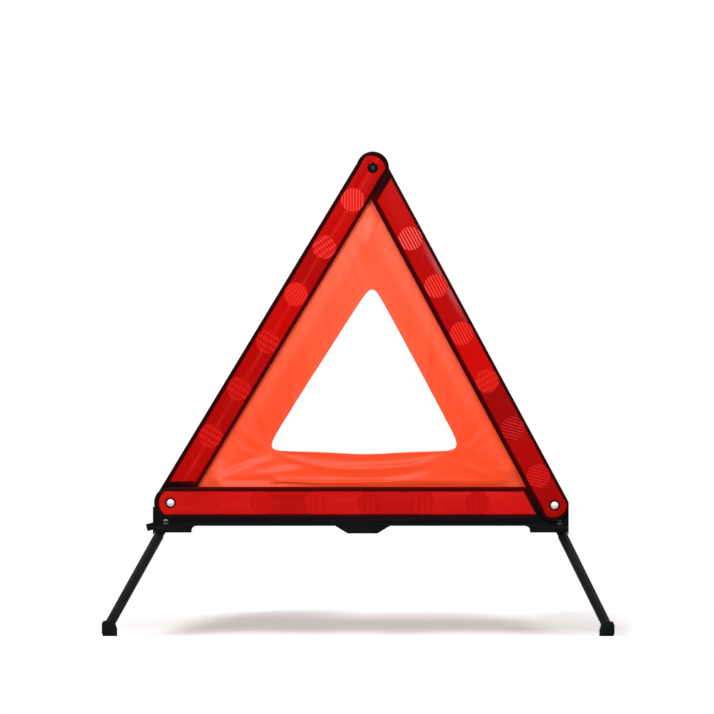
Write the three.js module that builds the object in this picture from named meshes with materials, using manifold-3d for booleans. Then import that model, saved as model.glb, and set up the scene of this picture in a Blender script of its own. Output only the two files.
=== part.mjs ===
// A folding roadside warning triangle: three reflector bars round an orange panel, on a rail with four legs.
// Millimetres, +Z up, +X to the right, the front faces -Y. The origin lies on the ground, in the middle of the feet.
import * as THREE from "three";
import * as BufferGeometryUtils from "three/addons/utils/BufferGeometryUtils.js";
import Module from "manifold-3d";

const wasm = await Module();
wasm.setup();

// Spans between the hinge holes of the triangle
const BASE_SPAN = 400;
const LEFT_SPAN = 407.6;
const RIGHT_SPAN = 399.3;
const RIGHT_PIVOT_DROP = 2.6;

// Reflector bars
const BAR_DEPTH = 5.6;
const LENS_WIDTH = 24.2;
const OUTER_BORDER = 3;
const INNER_BORDER = 4.5;
const LEFT_CUT_BORDER = 5.2;
const BOTTOM_CUT_BORDER = 4.2;
const RIGHT_CUT_BORDER = 6.2;
const LEFT_SHIFT = -1.5;
const LEFT_LENS_OFFSET = 1;
const RIGHT_SHIFT = 0.5;
const LENS_DEPTH = 2;
const LENS_SINK = 0.2;
const BAR_WEB = 1.2;
const LENS_END_RADIUS = 14.8;
const LENS_END_REACH = 12;
const LENS_EYE_RADIUS = 5.6;
const TONGUE_RADIUS = 17.2;
const TONGUE_DEPTH = 3.6;
const BAY_LENGTH = 27;
const RIB = 1.6;

// Base rail and its end housings
const RAIL_DEPTH = 21.2;
const RAIL_HEIGHT = 8.3;
const LEFT_OVERHANG = 18.4;
const RIGHT_OVERHANG = 14.7;
const SHOULDER = 4;
const HOUSING_LENGTH = 40.4;
const LEFT_HOUSING_DROP = 7;
const RIGHT_HOUSING_DROP = 8;
const HOUSING_FILLET = 4.6;
const END_WALL = 1.7;
const END_WALL_DROP = 8.5;
const CHEEK_DEPTH = 2.4;
const CHEEK_RADIUS = 11;
const HUMP_TOP_LENGTH = 56;
const HUMP_BOTTOM_LENGTH = 31;
const HUMP_DROP = 7.9;
const PEG_LENGTH = 6.6;
const PEG_HEIGHT = 7.4;
const PEG_DEPTH = 8;
const PEG_DROP = 0.2;
const PEG_TILT = 14;

// Legs, their hinges and feet
const LEG_LENGTH = 165.5;
const LEG_WIDTH = 9.8;
const LEG_GAUGE = 1.2;
const LEG_FLANGE = 3.5;
const FLANGE_START = 8;
const LEG_SLOPE = 40;
const LEFT_SWING = 109.7;
const RIGHT_SWING = 107.6;
const HINGE_Y = 6.5;
const HINGE_DROP = 3.9;
const LUG_RADIUS = 7;
const LUG_DEPTH = 3;
const LEG_END_HEIGHT = 10.8;
const FOOT_WIDTH = 12.4;
const FOOT_HEIGHT = 16;
const FOOT_GRIP = 6;
const FOOT_WALL = 1.4;
const FOOT_CHAMFER = 3;
const FOOT_SETBACK = 3.7;

// Fasteners
const RIVET_RADIUS = 2.8;
const RIVET_HEAD_RADIUS = 4.1;
const RIVET_HEAD_HEIGHT = 1.5;
const RIVET_TAIL_RADIUS = 4.2;
const RIVET_TAIL_HEIGHT = 1;
const BOSS_RADIUS = 5.3;
const WASHER_RADIUS = 6.5;
const LEG_RIVET_RADIUS = 2;
const LEG_RIVET_HEAD_RADIUS = 3.3;
const LEG_RIVET_HEAD_HEIGHT = 1.2;
const LEG_RIVET_DEPTH = 2.7;
const SCREW_RADIUS = 1.5;
const SCREW_HEAD_RADIUS = 3;
const SCREW_HEAD_HEIGHT = 1.6;
const SCREW_BITE = 3.4;
const SCREW_SLOT_WIDTH = 1.6;
const SCREW_SLOT_DEPTH = 0.8;
const RAIL_SCREWS = 4;
const HOUSING_SCREW_DEPTH = 8;
const HOUSING_SCREW_OFFSET = 5;

// Snap joint at the apex
const TAB_GAUGE = 1.4;
const TAB_WIDTH = 18;
const TAB_ROOT = 14;
const TAB_RADIUS = 17;
const STUD_RADIUS = 2.3;
const SNAP_RING_DEPTH = 1.2;
const STAKE_RADIUS = 1.5;
const STAKE_SPACING = 9;

// Orange panel with its window
const PANEL_THICKNESS = 0.8;
const HEM = 6;
const CLOTH_LEFT = 43.5;
const CLOTH_RIGHT = 40;
const CLOTH_BOTTOM = 39;
const WINDOW_LEAN = 1.5;
const WINDOW_SAG = 3;
const WINDOW_SHARPNESS = 11;
const HEM_SHARPNESS = 60;
const FOLD_DEPTH = 1.5;
const FOLDS = 5;
const CLOTH_LEVEL = 9;
const CLOTH_RAMP = 0.5;
const PANEL_STEPS = 24;
const PANEL_BANDS = 6;

// Clearances
const GAP = 0.3;
const APEX_GAP = 0.5;
const OVERCUT = 1;

const { cos, sin, atan2, acos, asin, hypot, min, max, abs, PI } = Math;
const radians = (degrees) => degrees * PI / 180;

// Levels that follow from the sizes above, from the ground up
const slope = radians(LEG_SLOPE);
const hingeHeight = LEG_END_HEIGHT + LEG_LENGTH * sin(radians(LEFT_SWING)) * sin(slope);
const railBottom = hingeHeight + HINGE_DROP;
const railTop = railBottom + RAIL_HEIGHT;
const lensHalf = LENS_WIDTH / 2;
const innerReach = lensHalf + INNER_BORDER;
const outerReach = lensHalf + OUTER_BORDER;
const barCentre = railTop + 2 * GAP + innerReach + LEFT_SHIFT;

// The bars lie in three layers, counted from the front: right bar, bottom bar, left bar
const railBack = RAIL_DEPTH / 2;
const railFront = -railBack;
const layerFront = (layer) => railFront + (layer - 2) * (BAR_DEPTH + GAP);
const behindBottomBar = layerFront(3);
const behindLeftBar = layerFront(3) + BAR_DEPTH + GAP;

// Each hinge stands in from its rail end so that the end wall stops the opened leg
function hingeInset(swing) {
  const aside = abs(cos(swing));
  const ahead = sin(swing);
  const wallFront = (railBack - HINGE_Y) / cos(slope);
  return END_WALL + GAP + (wallFront + aside * LEG_WIDTH / 2) * aside / ahead + ahead * LEG_WIDTH / 2;
}

// Where an opened leg's foot stands, measured from its hinge
function footPlace(swing) {
  const aside = LEG_LENGTH * abs(cos(swing));
  const ahead = LEG_LENGTH * sin(swing) * cos(slope);
  const heading = atan2(ahead, aside);
  return {
    heading,
    aside: aside - FOOT_SETBACK * cos(heading),
    ahead: ahead - FOOT_SETBACK * sin(heading),
    reach: (cos(heading) + sin(heading)) * FOOT_WIDTH / 2,
  };
}

// The two ends of the rail, placed so that the feet lie evenly round the origin
const ends = {
  left: { side: -1, swing: radians(LEFT_SWING), overhang: LEFT_OVERHANG, drop: LEFT_HOUSING_DROP },
  right: { side: 1, swing: radians(RIGHT_SWING), overhang: RIGHT_OVERHANG, drop: RIGHT_HOUSING_DROP },
};
for (const end of Object.values(ends)) {
  end.foot = footPlace(end.swing);
  end.inset = hingeInset(end.swing);
  end.reach = end.overhang - end.inset + end.foot.aside + end.foot.reach;
}
const leftPivot = { x: (ends.left.reach - ends.right.reach - BASE_SPAN) / 2, z: barCentre };
const rightPivot = { x: leftPivot.x + BASE_SPAN, z: barCentre - RIGHT_PIVOT_DROP };
const railLeft = leftPivot.x - LEFT_OVERHANG;
const railRight = rightPivot.x + RIGHT_OVERHANG;
const humpX = (leftPivot.x + rightPivot.x) / 2;
Object.assign(ends.left, { pivot: leftPivot, outside: railLeft, x: railLeft + ends.left.inset });
Object.assign(ends.right, { pivot: rightPivot, outside: railRight, x: railRight - ends.right.inset });

// The apex follows from the three spans
const baseLine = hypot(BASE_SPAN, RIGHT_PIVOT_DROP);
const baseTilt = atan2(-RIGHT_PIVOT_DROP, BASE_SPAN);
const leftCorner = acos((LEFT_SPAN ** 2 + baseLine ** 2 - RIGHT_SPAN ** 2) / (2 * LEFT_SPAN * baseLine));
const leftAngle = leftCorner + baseTilt;
const apex = { x: leftPivot.x + LEFT_SPAN * cos(leftAngle), z: leftPivot.z + LEFT_SPAN * sin(leftAngle) };
const rightAngle = atan2(apex.z - rightPivot.z, rightPivot.x - apex.x);
const apexAngle = PI - leftAngle - rightAngle;

// The side bars lean towards each other: they meet at the snap, and still pass each other when they fold
const leftRise = apex.z - leftPivot.z;
const rightRise = apex.z - rightPivot.z;
const lean = atan2(BAR_DEPTH + 2 * GAP - APEX_GAP, leftRise + rightRise + innerReach + outerReach);

const palette = {
  blackPlastic: { color: 0x141416, roughness: 0.45, metalness: 0 },
  redLens: { color: 0xd20a0a, roughness: 0.2, metalness: 0 },
  orangeCloth: { color: 0xff5a32, roughness: 0.75, metalness: 0 },
  paintedSteel: { color: 0x2b2c2b, roughness: 0.5, metalness: 0.3 },
  brightSteel: { color: 0xe2dfe0, roughness: 0.25, metalness: 1 },
  rubber: { color: 0x0f0f10, roughness: 0.85, metalness: 0 },
};

// Closed geometries become solids for cutting and joining, and meshes again at the end
function solid(geometry) {
  const bare = geometry.clone();
  bare.deleteAttribute("normal");
  bare.deleteAttribute("uv");
  const merged = BufferGeometryUtils.mergeVertices(bare, 1e-4);
  return new wasm.Manifold(new wasm.Mesh({
    numProp: 3,
    vertProperties: new Float32Array(merged.attributes.position.array),
    triVerts: new Uint32Array(merged.index.array),
  }));
}

function part(name, body, finish) {
  const { vertProperties, triVerts } = body.getMesh();
  const geometry = new THREE.BufferGeometry();
  geometry.setAttribute("position", new THREE.BufferAttribute(vertProperties, 3));
  geometry.setIndex(new THREE.BufferAttribute(triVerts, 1));
  const mesh = new THREE.Mesh(geometry, new THREE.MeshStandardMaterial(palette[finish]));
  mesh.name = name;
  return mesh;
}

const joined = (...bodies) => bodies.reduce((whole, body) => whole.add(body));
const cut = (body, ...tools) => tools.reduce((rest, tool) => rest.subtract(tool), body);

function box(x, y, z) {
  const geometry = new THREE.BoxGeometry(x[1] - x[0], y[1] - y[0], z[1] - z[0]);
  return solid(geometry.translate((x[0] + x[1]) / 2, (y[0] + y[1]) / 2, (z[0] + z[1]) / 2));
}

// Round bodies: along Y for the bars' rivets and screws, along Z for the leg hinges
function roundY(radius, y, x = 0, z = 0, sides = 32) {
  const geometry = new THREE.CylinderGeometry(radius, radius, y[1] - y[0], sides);
  return solid(geometry.translate(x, (y[0] + y[1]) / 2, z));
}

function roundZ(radius, z, sides = 24) {
  const geometry = new THREE.CylinderGeometry(radius, radius, z[1] - z[0], sides);
  return solid(geometry.rotateX(PI / 2).translate(0, 0, (z[0] + z[1]) / 2));
}

// An outline drawn in X and Z, made solid between two depths
function plate(outline, y) {
  const shape = outline instanceof THREE.Shape
    ? outline
    : new THREE.Shape(outline.map(([x, z]) => new THREE.Vector2(x, z)));
  const geometry = new THREE.ExtrudeGeometry(shape, { depth: y[1] - y[0], bevelEnabled: false, curveSegments: 20 });
  return solid(geometry.rotateX(PI / 2).translate(0, y[1], 0));
}

const widened = (y) => [y[0] - OVERCUT, y[1] + OVERCUT];
const rivetHole = (y, x = 0, z = 0) => roundY(RIVET_RADIUS + GAP, widened(y), x, z);
const screwHole = (y, x, z) => roundY(SCREW_RADIUS + GAP, y, x, z, 16);
const screwSeat = (y, x, z) => roundY(SCREW_HEAD_RADIUS + GAP, y, x, z, 20);

// Bars. Each starts at the hole of its round end and runs along +X to its far hole, with +Z to the inside
const bars = {
  left: {
    span: LEFT_SPAN, drop: 0, shift: LEFT_SHIFT, lensOffset: LEFT_LENS_OFFSET, layer: 3,
    corner: leftAngle, neighbour: 0, cutGap: GAP, cutBorder: LEFT_CUT_BORDER,
  },
  bottom: {
    span: BASE_SPAN, drop: -RIGHT_PIVOT_DROP, shift: 0, lensOffset: 0, layer: 2,
    corner: rightAngle, neighbour: RIGHT_SHIFT, cutGap: GAP, cutBorder: BOTTOM_CUT_BORDER,
  },
  right: {
    span: RIGHT_SPAN, drop: 0, shift: RIGHT_SHIFT, lensOffset: 0, layer: 1,
    corner: apexAngle, neighbour: LEFT_SHIFT, cutGap: -GAP, cutBorder: RIGHT_CUT_BORDER,
  },
};
for (const bar of Object.values(bars)) {
  bar.front = layerFront(bar.layer);
  bar.back = bar.front + BAR_DEPTH;
  bar.recess = bar.front + LENS_SINK + LENS_DEPTH + GAP;
  bar.floor = bar.recess + BAR_WEB;
}

// A bar is cut on a slant along the inner edge of the bar that crosses its far end, and the right bar laps over it
function cutAt(bar, z, border) {
  const edge = bar.neighbour + innerReach + border;
  return bar.span - (edge + (z - bar.drop) * cos(bar.corner)) / sin(bar.corner);
}

// The other end is an arc of that radius, which reaches that far past the hole
function barOutline(bar, top, bottom, border, radius, reach) {
  const centre = radius - reach;
  const start = asin(min(1, (top - bottom) / 2 / radius));
  const corner = centre - radius * cos(start);
  const shape = new THREE.Shape();
  shape.moveTo(corner, bottom);
  shape.lineTo(cutAt(bar, bottom, border), bottom);
  shape.lineTo(cutAt(bar, top, border), top);
  shape.lineTo(corner, top);
  shape.absarc(centre, (top + bottom) / 2, radius, PI - start, PI + start, false);
  return shape;
}

function frameOutline(bar) {
  const radius = (innerReach + outerReach) / 2;
  return barOutline(bar, bar.shift + innerReach, bar.shift - outerReach, bar.cutGap, radius, radius);
}

function lensOutline(bar, room) {
  const middle = bar.shift + bar.lensOffset;
  const half = lensHalf + room;
  return barOutline(bar, middle + half, middle - half, bar.cutBorder + GAP - room, LENS_END_RADIUS + room,
    LENS_END_REACH + room);
}

function lens(bar) {
  const y = [bar.front + LENS_SINK, bar.front + LENS_SINK + LENS_DEPTH];
  return cut(plate(lensOutline(bar, 0), y), roundY(LENS_EYE_RADIUS, widened(y)));
}

// The black frame: a recess for the lens in front, ribbed bays behind, and a boss that fills the lens's eye
function frame(bar, bossSink, ...skirts) {
  const block = joined(plate(frameOutline(bar), [bar.front, bar.back]), ...skirts);
  const seat = plate(lensOutline(bar, GAP), [bar.front - OVERCUT, bar.recess]);
  const bayTop = bar.shift + lensHalf - RIB;
  const bayBottom = bar.shift - lensHalf + RIB;
  const bayEnd = cutAt(bar, bayTop, GAP + bar.cutBorder);
  const bays = [];
  for (let x = TONGUE_RADIUS; x < bayEnd - BAY_LENGTH / 2; x += BAY_LENGTH + RIB) {
    const length = [x, min(x + BAY_LENGTH, bayEnd)];
    bays.push(box(length, [bar.floor, bar.back + OVERCUT], [bayBottom, bayTop]));
  }
  return joined(cut(block, seat, ...bays), roundY(BOSS_RADIUS, [bar.front + bossSink, bar.floor]));
}

// The thinner tongue runs on past the cut, behind the next bar's round end, to the far hole
function tongue(bar) {
  const y = [bar.back - TONGUE_DEPTH, bar.back];
  const bottom = bar.shift - outerReach;
  const top = bar.shift + innerReach;
  const neck = plate([
    [cutAt(bar, bottom, bar.cutBorder), bottom],
    [bar.span, max(bottom, bar.drop - TONGUE_RADIUS)],
    [bar.span, min(top, bar.drop + TONGUE_RADIUS)],
    [cutAt(bar, top, bar.cutBorder), top],
  ], y);
  return joined(neck, roundY(TONGUE_RADIUS, y, bar.span, bar.drop, 48));
}

// The left bar's round end holds the snap ring, and its tongue turns on the left base rivet
function leftBar() {
  const bar = bars.left;
  const y = [bar.front, bar.back];
  const body = joined(frame(bar, SNAP_RING_DEPTH + 2 * GAP), tongue(bar));
  return cut(body, roundY(STUD_RADIUS + 3 * GAP, widened(y)), rivetHole(y, bar.span, bar.drop));
}

function snapRing() {
  const y = [bars.left.front + GAP, bars.left.front + GAP + SNAP_RING_DEPTH];
  return cut(roundY(BOSS_RADIUS, y), roundY(STUD_RADIUS + 2 * GAP, widened(y)));
}

// Screws run along Y: two in front hold the housings, the others hold the rail from behind
const screwHeight = railBottom + RAIL_HEIGHT / 2;
ends.left.screwX = leftPivot.x - HOUSING_SCREW_OFFSET;
ends.right.screwX = rightPivot.x + HOUSING_SCREW_OFFSET;
const railScrewPlaces = Array.from({ length: RAIL_SCREWS }, (_, index) => {
  const share = (index + 0.5) / RAIL_SCREWS;
  return railLeft + HOUSING_LENGTH + share * (railRight - railLeft - 2 * HOUSING_LENGTH);
});

// The bottom bar, its first hole on the left base rivet, carries a skirt over the front of the rail
function bottomBar() {
  const bar = bars.bottom;
  const y = [bar.front, bar.back];
  const left = -LEFT_OVERHANG;
  const right = BASE_SPAN + RIGHT_OVERHANG;
  const bottom = railBottom - barCentre;
  const skirt = box([left, right], y, [bottom, -lensHalf - OUTER_BORDER / 2]);
  const leftShoulder = box([left, 0], y, [bottom, -SHOULDER]);
  const rightShoulder = box([BASE_SPAN + WASHER_RADIUS + GAP, right], y, [bottom, SHOULDER]);
  const beyondRail = box([right, right + TONGUE_RADIUS], widened(y), [-2 * TONGUE_RADIUS, TONGUE_RADIUS]);
  const tailSeat = roundY(RIVET_TAIL_RADIUS + GAP, [bar.back - RIVET_TAIL_HEIGHT - GAP, bar.back + OVERCUT],
    bar.span, bar.drop);
  const height = screwHeight - barCentre;
  const holes = railScrewPlaces.map((place) => screwHole([bar.back - SCREW_BITE, bar.back + OVERCUT],
    place - leftPivot.x, height));
  for (const end of Object.values(ends)) {
    const seatDepth = [bar.front - OVERCUT, bar.front + SCREW_HEAD_HEIGHT + GAP];
    holes.push(screwHole(widened(y), end.screwX - leftPivot.x, height));
    holes.push(screwSeat(seatDepth, end.screwX - leftPivot.x, height));
  }
  const body = joined(frame(bar, 0, skirt, leftShoulder), tongue(bar), rightShoulder);
  return cut(body, beyondRail, tailSeat, rivetHole(y), rivetHole(y, bar.span, bar.drop), ...holes);
}

// The right bar turns on the right base rivet, and its last bay is open for the snap tab
const tabBottom = RIGHT_SHIFT - TAB_WIDTH / 2;
const tabTop = RIGHT_SHIFT + TAB_WIDTH / 2;
const tabStart = cutAt(bars.right, tabTop, 2 * GAP) - TAB_ROOT;
const stakePlaces = [-1, 1].map((side) => ({
  x: tabStart + TAB_ROOT / 3,
  z: RIGHT_SHIFT + side * STAKE_SPACING / 2,
}));

function rightBar() {
  const bar = bars.right;
  const notch = box([tabStart - GAP, bar.span], [bar.floor, bar.back + OVERCUT], [tabBottom - GAP, tabTop + GAP]);
  const stakeDepth = [bar.floor - BAR_WEB / 2, bar.back - GAP];
  const stakes = stakePlaces.map(({ x, z }) => roundY(STAKE_RADIUS, stakeDepth, x, z, 16));
  return cut(joined(cut(frame(bar, 0), notch), ...stakes), rivetHole([bar.front, bar.back]));
}

// The springy snap tab: a root staked in the right bar, a step back past the left bar, and a disc with the stud
function snapTab() {
  const bar = bars.right;
  const leanBack = (leftRise + rightRise) * sin(lean);
  const rootFront = bar.floor + GAP;
  const rootDepth = [rootFront, rootFront + TAB_GAUGE];
  const discFront = behindLeftBar + GAP - leanBack;
  const discDepth = [discFront, discFront + TAB_GAUGE];
  const studDepth = [bars.left.front - leanBack + GAP, discDepth[1]];
  const edge = (z, border) => [cutAt(bar, z, border), z];
  const far = 2 * GAP;
  const near = far + TAB_GAUGE;
  const root = plate([[tabStart, tabBottom], edge(tabBottom, far), edge(tabTop, far), [tabStart, tabTop]],
    rootDepth);
  const riser = plate([edge(tabBottom, near), edge(tabBottom, far), edge(tabTop, far), edge(tabTop, near)],
    [rootFront, discDepth[1]]);
  const bridge = plate([edge(tabBottom, near), [bar.span, tabBottom], [bar.span, tabTop], edge(tabTop, near)],
    discDepth);
  const disc = roundY(TAB_RADIUS, discDepth, bar.span, 0, 48);
  const stud = roundY(STUD_RADIUS, studDepth, bar.span, 0, 24);
  const holes = stakePlaces.map(({ x, z }) => roundY(STAKE_RADIUS + GAP, widened(rootDepth), x, z, 16));
  return joined(cut(root, ...holes), riser, bridge, disc, stud);
}

// Rivets of the triangle: a domed head in front, a flat tail behind, turned as one profile
function baseRivet(bar, end) {
  const front = bar.front - GAP;
  const domeSteps = 8;
  const profile = [new THREE.Vector2(0, front - RIVET_HEAD_HEIGHT)];
  for (let step = 1; step <= domeSteps; step += 1) {
    const turn = step / domeSteps * PI / 2;
    profile.push(new THREE.Vector2(RIVET_HEAD_RADIUS * sin(turn), front - RIVET_HEAD_HEIGHT * cos(turn)));
  }
  profile.push(
    new THREE.Vector2(RIVET_RADIUS, front),
    new THREE.Vector2(RIVET_RADIUS, end),
    new THREE.Vector2(RIVET_TAIL_RADIUS, end),
    new THREE.Vector2(RIVET_TAIL_RADIUS, end + RIVET_TAIL_HEIGHT),
    new THREE.Vector2(0, end + RIVET_TAIL_HEIGHT),
  );
  return solid(new THREE.LatheGeometry(profile, 32));
}

// A washer fills the step between a bar's back and the tongue behind it
function washer(bar) {
  const y = [bar.back + GAP, bar.back + BAR_DEPTH - TONGUE_DEPTH];
  return cut(roundY(WASHER_RADIUS, y), roundY(RIVET_RADIUS + GAP, widened(y)));
}

function screw(y) {
  const headBack = y[0] + SCREW_HEAD_HEIGHT;
  const head = roundY(SCREW_HEAD_RADIUS, [y[0], headBack], 0, 0, 20);
  const shank = roundY(SCREW_RADIUS, [headBack - GAP, y[1]], 0, 0, 16);
  const slotEnd = SCREW_HEAD_RADIUS + OVERCUT;
  const slotDepth = [y[0] - OVERCUT, y[0] + SCREW_SLOT_DEPTH];
  const slot = box([-slotEnd, slotEnd], slotDepth, [-SCREW_SLOT_WIDTH / 2, SCREW_SLOT_WIDTH / 2]);
  return cut(joined(head, shank), slot);
}

// Base rail: a ribbed beam behind the skirt, open below, with the trapezoid hump in the middle
function baseRail() {
  const x = [railLeft + HOUSING_LENGTH + GAP, railRight - HOUSING_LENGTH - GAP];
  const y = [behindBottomBar, railBack];
  const humpTop = railBottom - GAP;
  const humpHalf = HUMP_TOP_LENGTH / 2;
  const hump = plate([
    [humpX - humpHalf, humpTop],
    [humpX - HUMP_BOTTOM_LENGTH / 2, railBottom - HUMP_DROP],
    [humpX + HUMP_BOTTOM_LENGTH / 2, railBottom - HUMP_DROP],
    [humpX + humpHalf, humpTop],
  ], [railFront, railBack]);
  const neck = box([humpX - humpHalf, humpX + humpHalf], y, [humpTop - GAP, railBottom + GAP]);
  const bossHalf = SCREW_RADIUS + GAP + RIB;
  const bays = [];
  for (let start = x[0] + RIB; start + BAY_LENGTH < x[1]; start += BAY_LENGTH + RIB) {
    const end = start + BAY_LENGTH;
    const holdsScrew = railScrewPlaces.some((place) => place > start - bossHalf && place < end + bossHalf);
    const meetsHump = end > humpX - humpHalf - RIB && start < humpX + humpHalf + RIB;
    if (!holdsScrew && !meetsHump) {
      bays.push(box([start, end], [y[0] + RIB, y[1] - RIB], [railBottom - OVERCUT, railTop - RIB]));
    }
  }
  const holes = railScrewPlaces.flatMap((place) => [
    screwHole(widened(y), place, screwHeight),
    screwSeat([railBack - SCREW_HEAD_HEIGHT - GAP, railBack + OVERCUT], place, screwHeight),
  ]);
  return cut(joined(box(x, y, [railBottom, railTop]), hump, neck), ...bays, ...holes);
}

// Leg hinges. Front and rear legs turn in planes that fall away from the rail like a roof
const rows = { front: -1, rear: 1 };

function roofGroup(end, row) {
  const group = new THREE.Group();
  group.position.set(end.x, row * HINGE_Y, hingeHeight);
  group.rotation.x = -row * slope;
  group.updateMatrixWorld(true);
  return group;
}

function legGroup(end, row) {
  const group = roofGroup(end, row);
  const inward = end.side < 0 ? 0 : row * PI;
  group.rotation.z = inward - row * end.side * end.swing;
  group.updateMatrixWorld(true);
  return group;
}

const inWorld = (body, group) => body.transform(group.matrixWorld.elements);
const inSpaceOf = (body, group) => body.transform(group.matrixWorld.clone().invert().elements);

// A leg is a steel channel, and only its flat web runs into the foot
function leg() {
  const half = LEG_WIDTH / 2;
  const flangeEnd = LEG_LENGTH - FOOT_GRIP - GAP;
  const web = joined(roundZ(half, [-LEG_GAUGE, 0]), box([0, LEG_LENGTH], [-half, half], [-LEG_GAUGE, 0]));
  const flanges = [[-half, LEG_GAUGE - half], [half - LEG_GAUGE, half]].map((y) => (
    box([FLANGE_START, flangeEnd], y, [-LEG_FLANGE, -LEG_GAUGE / 2])
  ));
  return cut(joined(web, ...flanges), roundZ(LEG_RIVET_RADIUS + GAP, widened([-LEG_GAUGE, 0])));
}

function legRivet() {
  const headTop = -LEG_GAUGE - GAP;
  const headBottom = headTop - LEG_RIVET_HEAD_HEIGHT;
  const head = roundZ(LEG_RIVET_HEAD_RADIUS, [headBottom, headTop]);
  return joined(head, roundZ(LEG_RIVET_RADIUS, [headBottom + GAP, GAP + LEG_RIVET_DEPTH]));
}

// A rubber foot: an upright block on the ground, cut along the leg's slope, with a slot for the leg's end
function foot(end, row, group) {
  const half = FOOT_WIDTH / 2;
  const upright = new THREE.Group();
  upright.position.set(end.x + end.side * end.foot.aside, row * (HINGE_Y + end.foot.ahead), 0);
  upright.rotation.z = atan2(row * sin(end.foot.heading), end.side * cos(end.foot.heading));
  upright.updateMatrixWorld(true);
  const block = plate([
    [-half, 0],
    [half - FOOT_CHAMFER, 0],
    [half, FOOT_CHAMFER],
    [half, FOOT_HEIGHT],
    [-half, FOOT_HEIGHT],
  ], [-half, half]);
  const across = 2 * FOOT_WIDTH;
  const grip = [LEG_LENGTH - FOOT_GRIP, LEG_LENGTH + across];
  const underLeg = box(grip, [-across, across], [-2 * FOOT_HEIGHT, GAP + FOOT_WALL]);
  const slotHalf = LEG_WIDTH / 2 + GAP;
  const slot = box([grip[0] - OVERCUT, LEG_LENGTH + GAP], [-slotHalf, slotHalf], [-LEG_GAUGE - GAP, GAP]);
  return cut(inSpaceOf(inWorld(block, upright), group).intersect(underLeg), slot);
}

// The small peg that stands out from the left end
function peg() {
  const group = new THREE.Group();
  group.position.set(railLeft, 0, railBottom - PEG_DROP);
  group.rotation.y = -radians(PEG_TILT);
  group.updateMatrixWorld(true);
  const half = PEG_HEIGHT / 2;
  const depth = [behindBottomBar, behindBottomBar + PEG_DEPTH];
  return inWorld(box([-PEG_LENGTH, PEG_LENGTH], depth, [-half, half]), group);
}

// End housing: a block behind the skirt, a cheek behind the bars, and lugs above the leg hinges
function housing(end) {
  const along = (distance) => end.outside - end.side * distance;
  const between = (from, to) => [min(along(from), along(to)), max(along(from), along(to))];
  const depth = [railFront, railBack];
  const bottom = railBottom - end.drop;
  const under = railBottom - GAP;
  const filletEnd = HOUSING_LENGTH + HOUSING_FILLET;
  const fillet = cut(
    box(between(HOUSING_LENGTH - GAP, filletEnd), depth, [under - HOUSING_FILLET, under]),
    roundY(HOUSING_FILLET, widened(depth), along(filletEnd), under - HOUSING_FILLET, 40),
  );
  const cheekDepth = [behindLeftBar, behindLeftBar + CHEEK_DEPTH];
  const bodies = [
    box(between(0, HOUSING_LENGTH), [behindBottomBar, railBack], [bottom, railTop]),
    box(between(0, HOUSING_LENGTH), depth, [bottom, under]),
    box(between(0, END_WALL), depth, [railBottom - END_WALL_DROP, under]),
    fillet,
    box([end.pivot.x - CHEEK_RADIUS, end.pivot.x + CHEEK_RADIUS], cheekDepth, [railBottom, barCentre]),
    roundY(CHEEK_RADIUS, cheekDepth, end.pivot.x, barCentre, 40),
  ];
  const screwBore = [behindBottomBar - OVERCUT, behindBottomBar + HOUSING_SCREW_DEPTH];
  const tools = [
    screwHole(screwBore, end.screwX, screwHeight),
    box(between(0, HOUSING_LENGTH), [railFront - LUG_RADIUS, behindBottomBar], [under, railTop]),
  ];
  for (const row of Object.values(rows)) {
    const group = roofGroup(end, row);
    const ridge = -row * HINGE_Y / cos(slope);
    const eaves = row * 2 * RAIL_DEPTH;
    const roofLength = between(END_WALL, filletEnd + OVERCUT).map((x) => x - end.x);
    const roof = box(roofLength, [min(ridge, eaves), max(ridge, eaves)], [-2 * RAIL_DEPTH, GAP]);
    const bore = roundZ(LEG_RIVET_RADIUS + GAP, [-OVERCUT, 2 * GAP + LEG_RIVET_DEPTH]);
    bodies.push(inWorld(roundZ(LUG_RADIUS, [-OVERCUT, GAP + LUG_DEPTH]), group));
    tools.push(inWorld(roof, group), inWorld(bore, group));
  }
  if (end === ends.left) {
    const pocketDepth = [behindBottomBar - OVERCUT, behindLeftBar];
    bodies.push(peg());
    tools.push(roundY(TONGUE_RADIUS + GAP, pocketDepth, leftPivot.x, leftPivot.z, 48));
    tools.push(rivetHole(cheekDepth, leftPivot.x, leftPivot.z));
  }
  return cut(joined(...bodies), ...tools);
}

// The panel's three sides, in turn round its middle: how far away each bar's inner edge is, and its back
const panelMiddle = { x: (leftPivot.x + rightPivot.x + apex.x) / 3, z: (leftPivot.z + rightPivot.z + apex.z) / 3 };
const panelSides = [
  { bar: bars.left, pivot: leftPivot, outward: leftAngle + PI / 2, turn: -WINDOW_LEAN, cloth: CLOTH_LEFT, rake: -1 },
  { bar: bars.bottom, pivot: leftPivot, outward: -PI / 2, turn: 0, cloth: CLOTH_BOTTOM, rake: 0 },
  { bar: bars.right, pivot: rightPivot, outward: PI / 2 - rightAngle, turn: 0, cloth: CLOTH_RIGHT, rake: 1 },
];
for (const side of panelSides) {
  side.fromEdge = (x, z) => {
    const outside = (x - side.pivot.x) * cos(side.outward) + (z - side.pivot.z) * sin(side.outward);
    return -outside - side.bar.shift - innerReach;
  };
  side.distance = side.fromEdge(panelMiddle.x, panelMiddle.z);
}
const hemLines = panelSides.map((side) => ({ towards: side.outward, distance: side.distance + HEM }));
const windowLines = panelSides.map((side) => ({
  towards: side.outward + radians(side.turn),
  distance: side.distance - side.cloth,
}));

// A triangle with rounded corners, as its reach in each direction from the panel's middle
function roundedTriangle(angle, lines, sharpness) {
  const sum = lines.reduce((total, { towards, distance }) => (
    total + max(0, cos(angle - towards) / distance) ** sharpness
  ), 0);
  return sum ** (-1 / sharpness);
}

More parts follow.
